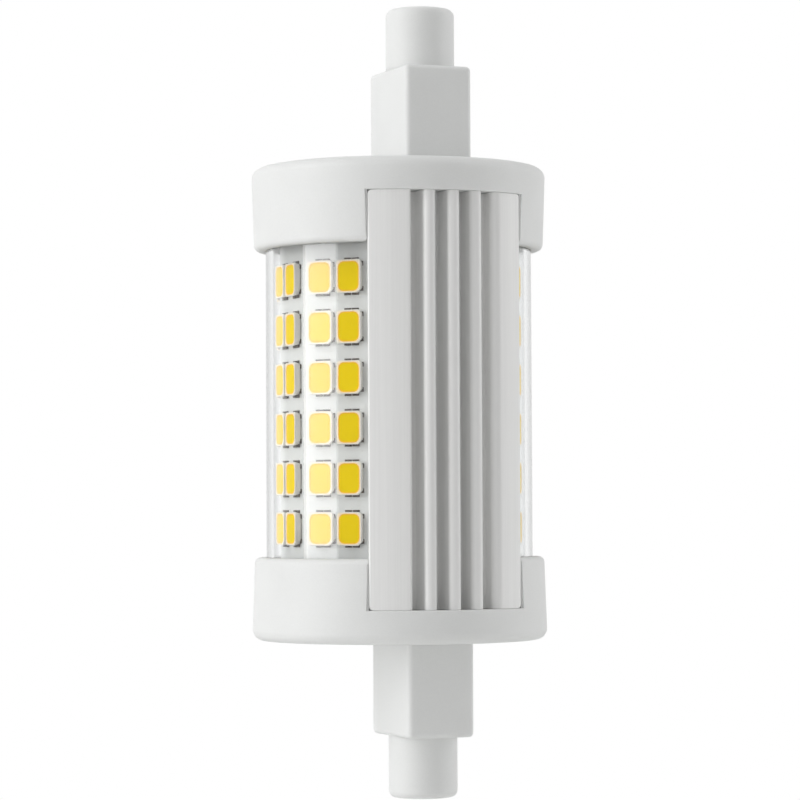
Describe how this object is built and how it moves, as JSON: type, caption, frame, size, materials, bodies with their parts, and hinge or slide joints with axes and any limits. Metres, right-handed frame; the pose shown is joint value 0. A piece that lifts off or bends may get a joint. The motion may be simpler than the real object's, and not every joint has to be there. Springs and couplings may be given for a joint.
{
  "type": "linear led bulb",
  "caption": "Double-ended linear LED bulb: yellow diodes on a faceted core under a clear cover, a finned aluminium heat sink down one side and an off-centre white base at each end.",
  "frame": {"origin": "centre of the round body, midway between the two base tips", "axes": "+Z along the lamp towards the upper base, -Y out of the fins of the heat sink"},
  "size_m": [0.0296, 0.0296, 0.078],
  "materials": {
    "cap_plastic": "fine spark-eroded matte",
    "contact_metal": "nickel plated",
    "extruded_aluminium": "matte, fine drawing lines along its length",
    "clear_plastic": "clear, polished",
    "liner_film": "folded insulating film",
    "driver_laminate": "glass-fibre laminate",
    "capacitor_can": "dark sleeve",
    "ferrite": "matte ferrite",
    "film_block": "dipped",
    "black_moulding": "moulded",
    "strip_metal": "nickel strip",
    "board_white": "white solder mask",
    "diode_housing": "moulded white",
    "phosphor": "yellow silicone filling"
  },
  "bodies": {
    "root": {"bridge_rectifier": "black_moulding", "clear_cover": "clear_plastic", "driver_board": "driver_laminate", "driver_chip": "black_moulding", "driver_liner": "liner_film", "film_capacitor": "film_block", "heat_sink": "extruded_aluminium", "inductor": "ferrite", "input_fuse": "black_moulding", "led_board_1": "board_white", "led_board_2": "board_white", "led_board_3": "board_white", "led_board_4": "board_white", "led_board_5": "board_white", "led_board_6": "board_white", "led_board_7": "board_white", "led_board_8": "board_white", "led_housings_1": "diode_housing", "led_housings_2": "diode_housing", "led_housings_3": "diode_housing", "led_housings_4": "diode_housing", "led_housings_5": "diode_housing", "led_housings_6": "diode_housing", "led_housings_7": "diode_housing", "led_housings_8": "diode_housing", "led_phosphors_1": "phosphor", "led_phosphors_2": "phosphor", "led_phosphors_3": "phosphor", "led_phosphors_4": "phosphor", "led_phosphors_5": "phosphor", "led_phosphors_6": "phosphor", "led_phosphors_7": "phosphor", "led_phosphors_8": "phosphor", "lower_contact": "contact_metal", "lower_end_cap": "cap_plastic", "lower_lead_strip": "strip_metal", "lower_neck": "cap_plastic", "lower_nose": "cap_plastic", "negative_feed_strip": "strip_metal", "positive_feed_strip": "strip_metal", "smoothing_capacitor": "capacitor_can", "upper_contact": "contact_metal", "upper_end_cap": "cap_plastic", "upper_lead_strip": "strip_metal", "upper_neck": "cap_plastic", "upper_nose": "cap_plastic"}
  },
  "joints": []
}
